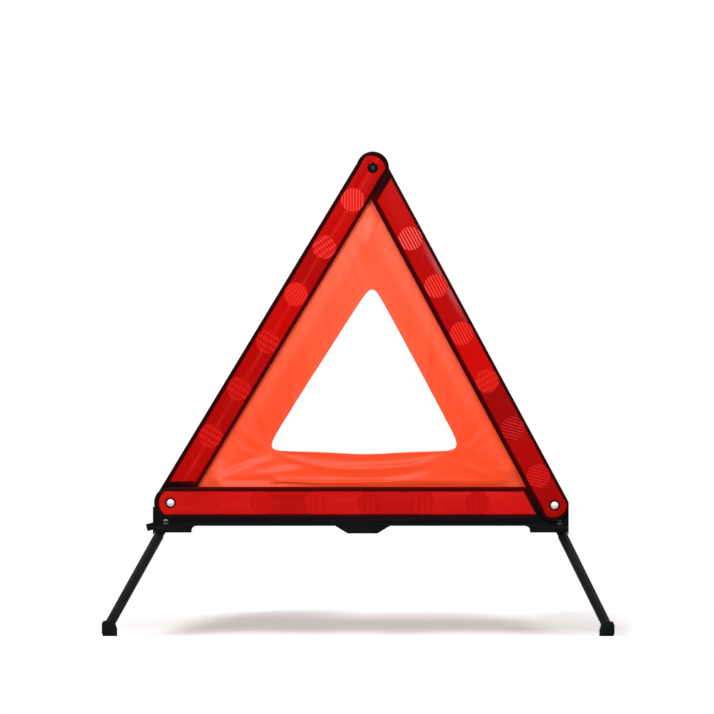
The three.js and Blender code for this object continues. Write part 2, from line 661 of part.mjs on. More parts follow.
const hemReach = (angle) => roundedTriangle(angle, hemLines, HEM_SHARPNESS);
const windowReach = (angle) => (
  roundedTriangle(angle, windowLines, WINDOW_SHARPNESS) + WINDOW_SAG * max(0, -sin(angle)) ** 4
);

// Directions from the middle, closer together towards the hem's three corners
function panelAngles() {
  return hemLines.flatMap((line, index) => {
    const toCorner = (other) => {
      const turn = other.towards - line.towards;
      return (other.distance - line.distance * cos(turn)) / abs(sin(turn));
    };
    const from = -toCorner(hemLines[(index + 2) % 3]);
    const to = toCorner(hemLines[(index + 1) % 3]);
    return Array.from({ length: PANEL_STEPS }, (_, step) => {
      const share = step / PANEL_STEPS;
      const eased = (share + (1 - cos(share * PI)) / 2) / 2;
      return line.towards + atan2(from + (to - from) * eased, line.distance);
    });
  });
}

// The cloth hangs just behind each bar, and runs evenly from one bar's depth to the next
function clothDepth(x, z) {
  const levels = panelSides.map((side) => ({
    back: side.bar.back + GAP + side.rake * (z - side.pivot.z) * sin(lean),
    away: max(0, side.fromEdge(x, z) - CLOTH_LEVEL),
  }));
  const weights = levels.map(({ away }) => 1 / (away + HEM) ** 2);
  const total = weights.reduce((sum, weight) => sum + weight);
  const even = levels.reduce((sum, { back }, index) => sum + back * weights[index] / total, 0);
  return max(even, ...levels.map(({ back, away }) => back - CLOTH_RAMP * away));
}

function fabricPanel() {
  const positions = [];
  const triangles = [];
  const angles = panelAngles();
  const point = (step, band, layer) => 2 * ((step % angles.length) * (PANEL_BANDS + 1) + band) + layer;
  const quad = (a, b, c, d) => triangles.push(a, b, c, a, c, d);
  angles.forEach((angle, step) => {
    const inner = windowReach(angle);
    const outer = hemReach(angle);
    for (let band = 0; band <= PANEL_BANDS; band += 1) {
      const share = band / PANEL_BANDS;
      const reach = inner + (outer - inner) * share;
      const x = panelMiddle.x + reach * cos(angle);
      const z = panelMiddle.z + reach * sin(angle);
      const fold = FOLD_DEPTH * (1 - share) * (1 - cos(FOLDS * angle)) / 2;
      const y = clothDepth(x, z) + fold;
      positions.push(x, y, z, x, y + PANEL_THICKNESS, z);
      if (band < PANEL_BANDS) {
        quad(point(step, band, 0), point(step, band + 1, 0), point(step + 1, band + 1, 0), point(step + 1, band, 0));
        quad(point(step, band, 1), point(step + 1, band, 1), point(step + 1, band + 1, 1), point(step, band + 1, 1));
      }
    }
    const hem = PANEL_BANDS;
    quad(point(step, hem, 0), point(step, hem, 1), point(step + 1, hem, 1), point(step + 1, hem, 0));
    quad(point(step, 0, 0), point(step + 1, 0, 0), point(step + 1, 0, 1), point(step, 0, 1));
  });
  const geometry = new THREE.BufferGeometry();
  geometry.setAttribute("position", new THREE.Float32BufferAttribute(positions, 3));
  geometry.setIndex(triangles);
  return solid(geometry);
}

// Assembly: the base with its bottom bar
const model = new THREE.Group();

function groupAt(x, y, z, ...meshes) {
  const group = new THREE.Group();
  group.position.set(x, y, z);
  group.add(...meshes);
  model.add(group);
  return group;
}

groupAt(leftPivot.x, 0, leftPivot.z,
  part("bottom_bar", bottomBar(), "blackPlastic"),
  part("bottom_lens", lens(bars.bottom), "redLens"),
  part("left_pivot_rivet", baseRivet(bars.bottom, behindLeftBar + CHEEK_DEPTH + GAP), "brightSteel"),
  part("left_pivot_washer", washer(bars.bottom), "blackPlastic"));
groupAt(rightPivot.x, 0, rightPivot.z,
  part("right_pivot_rivet", baseRivet(bars.right, bars.bottom.back - RIVET_TAIL_HEIGHT), "brightSteel"),
  part("right_pivot_washer", washer(bars.right), "blackPlastic"));
model.add(part("base_rail", baseRail(), "blackPlastic"), part("fabric_panel", fabricPanel(), "orangeCloth"));

// Assembly: the side bars on their leaning hinges
function leaningBar(pivot, way, direction, start, ...meshes) {
  const bar = new THREE.Group();
  bar.rotation.y = -direction;
  bar.position.set(start * cos(direction), 0, start * sin(direction));
  bar.add(...meshes);
  groupAt(pivot.x, 0, pivot.z, bar).rotation.x = way * lean;
}

leaningBar(leftPivot, 1, leftAngle + PI, -LEFT_SPAN,
  part("left_bar", leftBar(), "blackPlastic"),
  part("left_lens", lens(bars.left), "redLens"),
  part("snap_ring", snapRing(), "blackPlastic"));
leaningBar(rightPivot, -1, PI - rightAngle, 0,
  part("right_bar", rightBar(), "blackPlastic"),
  part("right_lens", lens(bars.right), "redLens"),
  part("snap_tab", snapTab(), "blackPlastic"));

// Assembly: housings, legs with their feet and rivets, and the screws
for (const [endName, end] of Object.entries(ends)) {
  model.add(part(`${endName}_housing`, housing(end), "blackPlastic"));
  groupAt(end.screwX, 0, screwHeight,
    part(`${endName}_housing_screw`, screw([railFront, behindBottomBar + HOUSING_SCREW_DEPTH - GAP]), "brightSteel"));
  for (const [rowName, row] of Object.entries(rows)) {
    const group = legGroup(end, row);
    group.add(
      part(`${endName}_${rowName}_leg`, leg(), "paintedSteel"),
      part(`${endName}_${rowName}_leg_rivet`, legRivet(), "brightSteel"),
      part(`${endName}_${rowName}_foot`, foot(end, row, group), "rubber"),
    );
    model.add(group);
  }
}
railScrewPlaces.forEach((place, index) => {
  const length = [-railBack, SCREW_BITE - GAP - bars.bottom.back];
  groupAt(place, 0, screwHeight, part(`rail_screw_${index + 1}`, screw(length), "brightSteel")).rotation.z = PI;
});

export default model;
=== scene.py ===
import functools
import math

import bmesh
import bpy
from mathutils import Matrix, Vector, noise


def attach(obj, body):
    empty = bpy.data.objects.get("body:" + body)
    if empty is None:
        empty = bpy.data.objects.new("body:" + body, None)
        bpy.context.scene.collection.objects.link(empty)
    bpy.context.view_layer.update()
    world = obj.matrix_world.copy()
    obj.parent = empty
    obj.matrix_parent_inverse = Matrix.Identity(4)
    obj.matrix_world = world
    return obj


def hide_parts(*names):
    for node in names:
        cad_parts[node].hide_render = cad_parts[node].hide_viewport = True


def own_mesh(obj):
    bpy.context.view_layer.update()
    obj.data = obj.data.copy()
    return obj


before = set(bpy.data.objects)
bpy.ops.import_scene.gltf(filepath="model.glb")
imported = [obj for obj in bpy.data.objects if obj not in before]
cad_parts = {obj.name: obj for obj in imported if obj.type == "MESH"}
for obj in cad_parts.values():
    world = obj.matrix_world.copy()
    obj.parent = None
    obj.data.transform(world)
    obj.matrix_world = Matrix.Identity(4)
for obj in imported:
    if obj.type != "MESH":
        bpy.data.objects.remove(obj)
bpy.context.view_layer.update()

# The camera looks straight at the front of the triangle, level with its middle.
# The rear legs hide behind the front ones, so the view has no perspective.
PHOTO_SIZE = 714
METRES_PER_PIXEL = 0.0010414
VIEW_MIDDLE = Vector((-0.0012, 0, 0.29076))
CAMERA_DISTANCE = 2.0
camera_data = bpy.data.cameras.new("front_camera")
camera_data.type = "ORTHO"
camera_data.ortho_scale = PHOTO_SIZE * METRES_PER_PIXEL
camera = bpy.data.objects.new("front_camera", camera_data)
camera.location = VIEW_MIDDLE - Vector((0, CAMERA_DISTANCE, 0))
camera.rotation_euler = (math.radians(90), 0, 0)
bpy.context.scene.collection.objects.link(camera)
bpy.context.scene.camera = camera

# Base rail and end housings: black polypropylene mouldings with a fine eroded grain.
# The rail is screwed to the back of the bottom bar, and the housings carry the leg hinges.
JOIN_WITHIN = 1e-6
FLAT_WITHIN = math.radians(0.6)
LEVEL_WITHIN = 1e-5
GRAIN_DETAIL = 2
MOULDED_RADIUS = 0.0004
FILLET_REACH = 0.0045
RAIL_GAP = 0.00028


def new_material(name, **settings):
    """A material with its values set on the shader's own sockets: its tree and its shader."""
    material = bpy.data.materials.new(name)
    material.use_nodes = True
    shader = material.node_tree.nodes["Principled BSDF"]
    for socket, value in settings.items():
        shader.inputs[socket.replace("_", " ")].default_value = value
    return material, material.node_tree, shader


def add_node(tree, kind, values=None, **properties):
    """A node of that kind with its properties and inputs. An input given as a socket is linked."""
    node = tree.nodes.new(kind)
    for name, value in properties.items():
        setattr(node, name, value)
    for place, value in (values or {}).items():
        if isinstance(value, bpy.types.NodeSocket):
            tree.links.new(value, node.inputs[place])
        else:
            node.inputs[place].default_value = value
    return node


def blotches(tree, size, detail=3):
    """Noise with spots of that size in metres, from 0 to 1."""
    place = add_node(tree, "ShaderNodeTexCoord").outputs["Object"]
    values = {"Vector": place, "Scale": 1 / size, "Detail": detail}
    return add_node(tree, "ShaderNodeTexNoise", values).outputs["Fac"]


def between(tree, factor, low, high):
    """A value that goes from low to high as factor goes from 0 to 1."""
    values = {"Value": factor, "To Min": low, "To Max": high}
    return add_node(tree, "ShaderNodeMapRange", values).outputs["Result"]


def mixed(tree, factor, first, second):
    """A colour that goes from first to second as factor goes from 0 to 1."""
    node = add_node(tree, "ShaderNodeMix", {"Factor": factor}, data_type="RGBA")
    for socket, colour in ((node.inputs[6], first), (node.inputs[7], second)):
        if isinstance(colour, bpy.types.NodeSocket):
            tree.links.new(colour, socket)
        else:
            socket.default_value = (*colour, 1)
    return node.outputs[2]


def raised(tree, shader, height, depth, strength):
    """A bump of that depth in metres on the shader."""
    values = {"Height": height, "Distance": depth, "Strength": strength}
    bump = add_node(tree, "ShaderNodeBump", values)
    tree.links.new(bump.outputs["Normal"], shader.inputs["Normal"])


def cloudy_finish(name, clouds, blend, colours, roughness, grain=None, tint=None, **settings):
    """A finish whose colour and roughness drift in clouds, given as size and detail, over a raised grain."""
    material, tree, shader = new_material(name, **settings)
    spots = blotches(tree, *clouds)
    colour = mixed(tree, between(tree, spots, *blend), *colours)
    if tint:
        colour = tint(tree, colour)
    tree.links.new(colour, shader.inputs["Base Color"])
    tree.links.new(between(tree, spots, *roughness), shader.inputs["Roughness"])
    if grain:
        size, depth, strength = grain
        raised(tree, shader, blotches(tree, size, GRAIN_DETAIL), depth, strength)
    return material


def black_plastic(name, colours, roughness, gloss=0.04, tint=None):
    """Moulded black plastic: a fine grain, with cloudy patches that are a little greyer and duller."""
    return cloudy_finish(name, clouds=(0.03, 3), blend=(-0.4, 1.3), colours=colours, roughness=roughness,
                         grain=(0.0007, 0.00005, 0.5), tint=tint, Specular_IOR_Level=gloss)


def closed_copy(node):
    """A CAD node's mesh with its loose triangles joined and its flat faces made whole."""
    mesh = bmesh.new()
    mesh.from_mesh(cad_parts[node].data)
    bmesh.ops.remove_doubles(mesh, verts=mesh.verts, dist=JOIN_WITHIN)
    bmesh.ops.dissolve_limit(mesh, angle_limit=FLAT_WITHIN, verts=mesh.verts, edges=mesh.edges)
    return mesh


def rounded(mesh, radius, segments, from_angle):
    """Rounds every edge of the mesh that is sharper than that angle in degrees."""
    sharp = math.radians(from_angle)
    edges = [edge for edge in mesh.edges if edge.is_manifold and edge.calc_face_angle() > sharp]
    bmesh.ops.bevel(mesh, geom=edges, offset=radius, offset_type="OFFSET", affect="EDGES", segments=segments,
                    profile=0.5, material=-1, clamp_overlap=True)


def finished_piece(name, mesh, body, materials, smooth_angle=32):
    """The mesh as an object that rides on the body, smooth up to that angle between its faces."""
    data = bpy.data.meshes.new(name)
    mesh.to_mesh(data)
    mesh.free()
    for material in materials:
        data.materials.append(material)
    data.shade_smooth()
    data.set_sharp_from_angle(angle=math.radians(smooth_angle))
    piece = bpy.data.objects.new(name, data)
    bpy.context.scene.collection.objects.link(piece)
    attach(piece, body)
    return piece


def dressed_node(node, body, materials, radius, segments=2, from_angle=35, name=None, shape=None,
                 mark=None):
    """The CAD node again with rounded edges, in its place, shaped before that and marked after it."""
    mesh = closed_copy(node)
    if shape:
        shape(mesh)
    rounded(mesh, radius, segments, from_angle)
    if mark:
        mark(mesh)
    piece = finished_piece(name or f"{node}_moulding", mesh, body, materials)
    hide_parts(node)
    return piece


def meet_rail(mesh):
    """Brings the ledge and the fillet of an end housing up to the rail above them."""
    fillet_end = min(abs(vert.co.x) for vert in mesh.verts)
    ledge = max(vert.co.z for vert in mesh.verts if abs(vert.co.x) < fillet_end + FILLET_REACH)
    level_verts = [vert for vert in mesh.verts if abs(vert.co.z - ledge) < LEVEL_WITHIN]
    bmesh.ops.translate(mesh, vec=(0, 0, RAIL_GAP), verts=level_verts)


rail_plastic = black_plastic("grained_black_plastic", ((0.0022, 0.0026, 0.0028), (0.0062, 0.0064, 0.0066)),
                             roughness=(0.42, 0.6))
dressed_node("base_rail", "base", [rail_plastic], MOULDED_RADIUS)
for housing in ("left_housing", "right_housing"):
    dressed_node(housing, "base", [rail_plastic], MOULDED_RADIUS, shape=meet_rail)

# Bar frames: glossier black mouldings with a sunk seat for the lens in front and ribs behind.
# They lie in three layers. The side bars turn on the base rivets and meet at the snap.
# The borders of all three are painted dark red beside the lens, a painted reflection of the red lens and
# cloth.
BASE_SPAN = 0.4
LEFT_SPAN = 0.4076
RIGHT_SPAN = 0.3993
RIGHT_PIVOT_DROP = 0.0026
LEFT_PIVOT = Vector((-0.195422, 0, 0.138855))
RIGHT_PIVOT = LEFT_PIVOT + Vector((BASE_SPAN, 0, -RIGHT_PIVOT_DROP))
BAR_LEAN = 0.00778
BAR_DEPTH = 0.0056
LAYER_GAP = 0.0003
REAR_LAYER = -0.0047
MIDDLE_LAYER = REAR_LAYER - BAR_DEPTH - LAYER_GAP
FRONT_LAYER = MIDDLE_LAYER - BAR_DEPTH - LAYER_GAP
LENS_HALF = 0.0121
LENS_GAP = 0.0003
INNER_BORDER = 0.0045
INNER_REACH = LENS_HALF + INNER_BORDER
BORDER_DEPTH = 0.0012
START_FADE = (-0.02, 0.06)
END_FADE = (0.02, 0.03)
CUT_WITHIN = 1e-7
CORNER_CUT = Vector((0.2138, 0, 0.1494))
CORNER_OUTWARD = Vector((0.878, 0, 0.479))

base_line = math.hypot(BASE_SPAN, RIGHT_PIVOT_DROP)
left_corner = math.acos((LEFT_SPAN ** 2 + base_line ** 2 - RIGHT_SPAN ** 2) / (2 * LEFT_SPAN * base_line))
left_angle = left_corner - math.atan2(RIGHT_PIVOT_DROP, BASE_SPAN)
apex = LEFT_PIVOT + LEFT_SPAN * Vector((math.cos(left_angle), 0, math.sin(left_angle)))
right_angle = math.atan2(apex.z - RIGHT_PIVOT.z, RIGHT_PIVOT.x - apex.x)
apex_angle = math.pi - left_angle - right_angle


def bar_place(pivot, lean, direction, start=0.0):
    """Takes a bar from its own frame, with its round end's hole at the origin, to its place."""
    along = Vector((math.cos(direction), 0, math.sin(direction)))
    leaning = Matrix.Translation(pivot) @ Matrix.Rotation(lean, 4, "X")
    return leaning @ Matrix.Translation(start * along) @ Matrix.Rotation(-direction, 4, "Y")


# The slanted end of a lens follows from the bar's span, drop, corner, neighbour and border.
# The tints go across the bar, each from its place, and paint a dark red reflection beside the lens. The
# fields are the tones of the lens between the discs.
# Each disc has the turn of its ribs, whether they are broken into beads, and its two tones among REDS: a
# painted highlight for the lit slopes of its ribs and a painted shade for the deep ones.
# Gloss gives the strength of a painted pink reflection on the outer edge of the lens.
# Streak gives the strength of a painted highlight streak along the middle of the lens.
bars = {
    "bottom": {
        "body": "base", "place": Matrix.Translation(LEFT_PIVOT),
        "front": MIDDLE_LAYER, "shift": 0.0, "middle": 0.0,
        "span": BASE_SPAN, "drop": RIGHT_PIVOT_DROP, "corner": right_angle, "neighbour": 0.0005,
        "border": 0.0042, "blacks": ((0.0036, 0.003, 0.0032), (0.0076, 0.0068, 0.0070)),
        "tints": ((-0.0185, (0.0048, 0.0046, 0.0048)), (-0.0145, (0.018, 0.0022, 0.0034)),
                  (-0.012, (0.042, 0.002, 0.003)), (0.012, (0.072, 0.0, 0.0002))),
        "first_disc": 0.0385, "disc_pitch": 0.0562, "streak": 0.0,
        "light": (0.68, 0.010, 0.008), "deep": (0.47, 0.005, 0.004), "gloss": 0.0,
        "fields": (0.4, 0.72, 0.0, 0.72, 0.15, 0.72, 1.0),
        "discs": ((0, False, 1.1, 0.85), (-45, False, 1.15, 0.75), (0, True, 1.2, 0.95),
                  (0, True, 1.1, 0.6), (0, True, 1.25, 0.75), (0, True, 1.1, 0.7)),
    },
    "left": {
        "body": "left_side", "place": bar_place(LEFT_PIVOT, BAR_LEAN, left_angle + math.pi, -LEFT_SPAN),
        "front": REAR_LAYER, "shift": -0.0015, "middle": -0.0005,
        "span": LEFT_SPAN, "drop": 0.0, "corner": left_angle, "neighbour": 0.0,
        "border": 0.0052, "blacks": ((0.010, 0.0012, 0.0018), (0.019, 0.0022, 0.003)),
        "tints": ((-0.0166, (0.024, 0.002, 0.0018)), (-0.012, (0.026, 0.0018, 0.0014)),
                  (0.012, (0.062, 0.0003, 0.0008))),
        "first_disc": 0.0393, "disc_pitch": 0.0574, "streak": 0.45,
        "light": (0.60, 0.002, 0.001), "deep": (0.25, 0.001, 0.001), "gloss": 0.0,
        "fields": (0.6, 0.77, 0.33, 0.8, 0.45, 0.42, 0.62),
        "discs": ((-31, False, 2.25, 1.3), (-66, True, 2.25, 1.25), (0, False, 1.85, 1.3),
                  (0, True, 1.7, 1.0), (0, True, 1.55, 0.85), (0, True, 1.55, 0.9)),
    },
    "right": {
        "body": "right_side", "place": bar_place(RIGHT_PIVOT, -BAR_LEAN, math.pi - right_angle),
        "front": FRONT_LAYER, "shift": 0.0005, "middle": 0.0005,
        "span": RIGHT_SPAN, "drop": 0.0, "corner": apex_angle, "neighbour": -0.0015,
        "border": 0.0062, "blacks": ((0.012, 0.0012, 0.0018), (0.021, 0.0022, 0.003)),
        "tints": ((-0.0166, (0.026, 0.002, 0.0018)), (-0.012, (0.030, 0.0018, 0.0014)),
                  (0.012, (0.048, 0.0002, 0.0006))),
        "first_disc": 0.0347, "disc_pitch": 0.0562, "streak": 0.0,
        "light": (0.70, 0.003, 0.002), "deep": (0.20, 0.001, 0.001), "gloss": 0.45,
        "fields": (0.22, 0.34, 0.12, 0.85, 0.4, 0.42, 0.55),
        "discs": ((-47, False, 1.1, 0.75), (-47, False, 0.85, 0.0), (0, True, 2.0, 1.2),
                  (0, False, 2.05, 1.05), (0, False, 2.25, 1.0), (0, False, 2.7, 0.85)),
    },
}


def counted(tree, kind, first, second=0.0):
    """One sum of two values or sockets."""
    return add_node(tree, "ShaderNodeMath", {0: first, 1: second}, operation=kind).outputs[0]


def share_of(tree, value, start, end):
    """How far a value has come from start, at 0, to end, at 1."""
    values = {"Value": value, "From Min": start, "From Max": end}
    return add_node(tree, "ShaderNodeMapRange", values).outputs["Result"]


def colour_ramp(tree, factor, stops, interpolation="LINEAR"):
    """A colour that changes along its stops, each given as its place from 0 to 1 and its colour."""
    node = add_node(tree, "ShaderNodeValToRGB", {0: factor})
    ramp = node.color_ramp
    ramp.interpolation = interpolation
    ramp.elements.remove(ramp.elements[1])
    for place, colour in stops:
        stop = ramp.elements.new(place) if place > 0 else ramp.elements[0]
        stop.color = (*colour, 1)
    return node.outputs["Color"]


def bar_axes(tree):
    """The mesh's UV map, and from it the distances along and across the bar in metres."""
    uv = add_node(tree, "ShaderNodeUVMap", uv_map="along_bar").outputs[0]
    return uv, *add_node(tree, "ShaderNodeSeparateXYZ", {0: uv}).outputs[:2]


def painted_red_reflection(bar, tree, plain):
    """The plain colour with a painted dark red reflection beside the lens, but not at the bar's two ends."""
    _, along, across = bar_axes(tree)
    low, high = bar["tints"][0][0], bar["tints"][-1][0]
    stops = [((place - low) / (high - low), colour) for place, colour in bar["tints"]]
    tint = colour_ramp(tree, share_of(tree, across, low, high), stops)
    from_start = share_of(tree, along, *START_FADE)
    to_end = share_of(tree, along, *(bar["span"] - place for place in END_FADE))
    return mixed(tree, counted(tree, "MULTIPLY", from_start, to_end), plain, tint)


def mark_along(place, mesh):
    """A UV map that holds the distance along and across the bar, in metres."""
    layer = mesh.loops.layers.uv.new("along_bar")
    back = place.inverted()
    for face in mesh.faces:
        for loop in face.loops:
            spot = back @ loop.vert.co
            loop[layer].uv = (spot.x, spot.z)


def mark_bar(bar, mesh):
    """Marks the bar's length, and gives all that lies behind its borders the second material."""
    mark_along(bar["place"], mesh)
    back = bar["place"].inverted()
    for face in mesh.faces:
        depth = (back @ face.calc_center_median()).y - bar["front"]
        face.material_index = 1 if depth > BORDER_DEPTH else 0


def cut_at(mesh, place, outward, clear_outer=True):
    """Cuts the mesh at a plane, takes off what lies outside it, and gives the new edges and points."""
    parts = mesh.verts[:] + mesh.edges[:] + mesh.faces[:]
    return bmesh.ops.bisect_plane(mesh, geom=parts, dist=CUT_WITHIN, plane_co=place, plane_no=outward,
                                  clear_outer=clear_outer)["geom_cut"]


def trim_corner(mesh):
    """Cuts back the corner of the bottom bar that would show beside the right bar."""
    cut = cut_at(mesh, CORNER_CUT, CORNER_OUTWARD)
    bmesh.ops.holes_fill(mesh, edges=[item for item in cut if isinstance(item, bmesh.types.BMEdge)])


for bar_name, bar in bars.items():
    # Each frame's plastic carries a painted red reflection beside its lens.
    bar["plastic"] = black_plastic(f"{bar_name}_bar_plastic", bar["blacks"], roughness=(0.32, 0.48),
                                   gloss=0.015, tint=functools.partial(painted_red_reflection, bar))
    dressed_node(f"{bar_name}_bar", bar["body"], [bar["plastic"], rail_plastic],
                 MOULDED_RADIUS, shape=trim_corner if bar_name == "bottom" else None,
                 mark=functools.partial(mark_bar, bar))

# Reflector lenses: clear red acrylic over moulded prisms, clipped into the frames.
# Each bar has six round fields of coarse prisms, and the fields between them differ in tone.
LENS_RADIUS = 0.00035
PRISM_PITCH = 0.0021
PRISM_TURNS = (0, 60, 120)
STREAK_HALF = 0.0028
REFLECTION_ACROSS = (-0.005, -0.0095)
REFLECTION_PLACE = 0.262
REFLECTION_REACH = (0.055, 0.02)
PRISM_RED = (0.80, 0.008, 0.005)
CLOUD_RED = (0.40, 0.0, 0.0)
HIGHLIGHT_STREAK_RED = (0.95, 0.03, 0.02)
REFLECTION_PINK = (0.55, 0.13, 0.14)
DISC_RADIUS = 0.01225
DISC_SIDES = 40
DISC_RIBS = 8
RIB_WIDTH = 2 * DISC_RADIUS / DISC_RIBS
RIB_CELLS = DISC_RIBS + 2
DISC_HEIGHT = 0.00025
DISC_SINK = 0.0001
SKIRT_DEPTH = 0.0004
LIT_SHARE = 0.45
TOOTH_START = 0.003
TOOTH_PITCH = 0.0028
TOOTH_SIZE = 0.0014
TOOTH_WIDTH = 0.0021
TOOTH_DEPTH = 0.00045
TOOTH_SINK = 0.000175
# The reds run from the darkest painted shade of the disc facets to their palest painted highlight.
REDS = ((0.37, 0.001, 0.001), (0.61, 0.004, 0.003), (0.93, 0.026, 0.018), (1.0, 0.15, 0.12), (1.0, 0.46, 0.4))


def triangle_wave(tree, uv, pitch, degrees):
    """Ridges of that pitch in metres, turned by that angle, from 0 to 1."""
    wave_unit = math.pi / 10
    turned = add_node(tree, "ShaderNodeMapping", {"Vector": uv, "Rotation": (0, 0, math.radians(degrees))})
    return add_node(tree, "ShaderNodeTexWave", {"Vector": turned.outputs[0], "Scale": wave_unit / pitch},
                    wave_profile="TRI").outputs["Fac"]


def field_tone(bar, tree, along):
    """The bar's own reds, from deep to light, by the fields along the lens."""
    field_count = len(bar["fields"])
    start = bar["first_disc"] - bar["disc_pitch"]
    share = share_of(tree, along, start, start + field_count * bar["disc_pitch"])
    levels = [(number / field_count, (level,) * 3) for number, level in enumerate(bar["fields"])]
    return mixed(tree, colour_ramp(tree, share, levels, "CONSTANT"), bar["deep"], bar["light"])


def painted_highlight_streak(bar, tree, across):
    """How strongly a painted highlight streak along the middle of the lens shows, in patches."""
    from_middle = counted(tree, "ABSOLUTE", across)
    line = counted(tree, "SUBTRACT", 1.0, counted(tree, "DIVIDE", from_middle, STREAK_HALF))
    patchy_line = counted(tree, "MULTIPLY", counted(tree, "MAXIMUM", line), blotches(tree, size=0.02))
    return counted(tree, "MULTIPLY", patchy_line, bar["streak"])


def painted_edge_reflection(bar, tree, along, across):
    """How strongly a painted pink reflection shows on the outer edge of the lens, round one place along the
    bar.
    """
    from_place = counted(tree, "ABSOLUTE", counted(tree, "SUBTRACT", along, REFLECTION_PLACE))
    near_place = share_of(tree, from_place, *REFLECTION_REACH)
    outwards = share_of(tree, across, *REFLECTION_ACROSS)
    return counted(tree, "MULTIPLY", counted(tree, "MULTIPLY", outwards, near_place), bar["gloss"])


def lens_red(name, bar):
    """Red acrylic over small prisms. The tone changes from field to field, at the middle of each disc."""
    material, tree, shader = new_material(name, Roughness=0.3, Specular_IOR_Level=0.02, Coat_Weight=0.025,
                                          Coat_Roughness=0.08)
    uv, along, across = bar_axes(tree)
    ridges = [triangle_wave(tree, uv, PRISM_PITCH, degrees) for degrees in PRISM_TURNS]
    prisms = functools.reduce(functools.partial(counted, tree, "MINIMUM"), ridges)
    tone = mixed(tree, between(tree, prisms, low=0.0, high=0.5), field_tone(bar, tree, along), PRISM_RED)
    tone = mixed(tree, between(tree, blotches(tree, size=0.045), low=-0.25, high=0.6), tone, CLOUD_RED)
    # A painted highlight streak along the middle of the lens, on the left bar.
    tone = mixed(tree, painted_highlight_streak(bar, tree, across), tone, HIGHLIGHT_STREAK_RED)
    # A painted pink reflection on the outer edge of the lens, on the right bar.
    tone = mixed(tree, painted_edge_reflection(bar, tree, along, across), tone, REFLECTION_PINK)
    tree.links.new(tone, shader.inputs["Base Color"])
    raised(tree, shader, prisms, depth=0.0002, strength=0.3)
    return material


def tone_among_reds(level):
    """A red from the darkest facet, at 0, to the palest, at 4."""
    step = min(int(level), len(REDS) - 2)
    return tuple(low + (high - low) * (level - step) for low, high in zip(REDS[step], REDS[step + 1]))


def duller(colour, share):
    """The colour with that share of its brightness."""
    return tuple(share * channel for channel in colour)


def painted_light_disc_red(name, level, roughness):
    """One red for the facets of a round field, with cloudy spots. Each disc has one as painted highlight on
    the lit slopes of its ribs and one as painted shade on the deep slopes.
    """
    colour = tone_among_reds(level)
    return cloudy_finish(name, clouds=(0.0016, 2), blend=(-0.6, 1.2), colours=(colour, duller(colour, 0.78)),
                         roughness=roughness, Specular_IOR_Level=0.02, Coat_Weight=0.025, Coat_Roughness=0.1)


def rib_strips(beaded):
    """Ribs side by side, each a lit slope with the painted highlight and a deep one with the painted shade.
    The painted highlight on the lit slopes can be broken into beads.
    """
    strips = bmesh.new()
    crest = -1 + 2 * LIT_SHARE
    for rib in range(DISC_RIBS):
        centre = -DISC_RADIUS + (rib + 0.5) * RIB_WIDTH
        for vert in bmesh.ops.create_grid(strips, x_segments=RIB_CELLS, y_segments=2, size=1.0)["verts"]:
            on_crest = abs(vert.co.y) < 0.5
            across = crest if on_crest else vert.co.y
            vert.co = Vector((vert.co.x * RIB_WIDTH * RIB_CELLS / 2, -DISC_HEIGHT if on_crest else 0.0,
                              centre + across * RIB_WIDTH / 2))
    bmesh.ops.remove_doubles(strips, verts=strips.verts, dist=JOIN_WITHIN)
    for face in strips.faces:
        middle = face.calc_center_median()
        lit = (middle.z + DISC_RADIUS) / RIB_WIDTH % 1.0 < LIT_SHARE
        bead = int(middle.x / RIB_WIDTH + RIB_CELLS) % 2
        face.material_index = 0 if lit and (bead or not beaded) else 1
    return strips


def only_verts(items):
    """The vertices among what an operator gives back."""
    return [item for item in items if isinstance(item, bmesh.types.BMVert)]


def trim_round(strips):
    """Trims the ribs to a circle, and closes them with a skirt and a back."""
    for side in range(DISC_SIDES):
        turned = side / DISC_SIDES * math.tau
        outward = Vector((math.cos(turned), 0, math.sin(turned)))
        cut_at(strips, outward * DISC_RADIUS, outward)
    rim = [edge for edge in strips.edges if edge.is_boundary]
    for vert in only_verts(bmesh.ops.extrude_edge_only(strips, edges=rim)["geom"]):
        vert.co.y = SKIRT_DEPTH
    bmesh.ops.contextual_create(strips, geom=[edge for edge in strips.edges if edge.is_boundary])
    bmesh.ops.recalc_face_normals(strips, faces=strips.faces)


def ribbed_disc(mesh, bar, along, turn, beaded, first_material):
    """Adds one round field of ribs, which stands a little proud of the lens, to the mesh."""
    disc = rib_strips(beaded)
    trim_round(disc)
    move = bar["place"] @ Matrix.Translation((along, bar["front"] + DISC_SINK, bar["middle"]))
    bmesh.ops.transform(disc, matrix=move @ Matrix.Rotation(math.radians(turn), 4, "Y"), verts=disc.verts)
    for face in disc.faces:
        face.material_index += first_material
    scratch = bpy.data.meshes.new("disc")
    disc.to_mesh(scratch)
    disc.free()
    mesh.from_mesh(scratch)
    bpy.data.meshes.remove(scratch)


def cut_place(bar, across):
    """How far along the bar the slanted end of its lens lies, for a place across the bar."""
    edge = bar["neighbour"] + INNER_REACH + bar["border"]
    return bar["span"] - (edge + (across - bar["drop"]) * math.cos(bar["corner"])) / math.sin(bar["corner"])


def tooth_row(mesh, bar, start, end, inward):
    """Small black points along one edge of a lens, where the frame's crimped lip bites it."""
    unit_width = math.sqrt(3)
    unit_height = 1.5
    run = end - start
    steps = int(run.length / TOOTH_PITCH)
    wide = run.normalized() * TOOTH_WIDTH / unit_width
    tall = inward * TOOTH_SIZE / unit_height
    for step in range(steps + 1):
        spot = start + run * (step / steps) + tall / 2
        columns = ((wide.x, 0, wide.y), (tall.x, 0, tall.y), (0, TOOTH_DEPTH, 0),
                   (spot.x, bar["front"] + TOOTH_SINK, spot.y))
        shape = Matrix([[column[row] for column in columns] for row in range(3)] + [[0, 0, 0, 1]])
        bmesh.ops.create_cone(mesh, cap_ends=True, segments=3, radius1=1, radius2=1, depth=1,
                              matrix=bar["place"] @ shape)


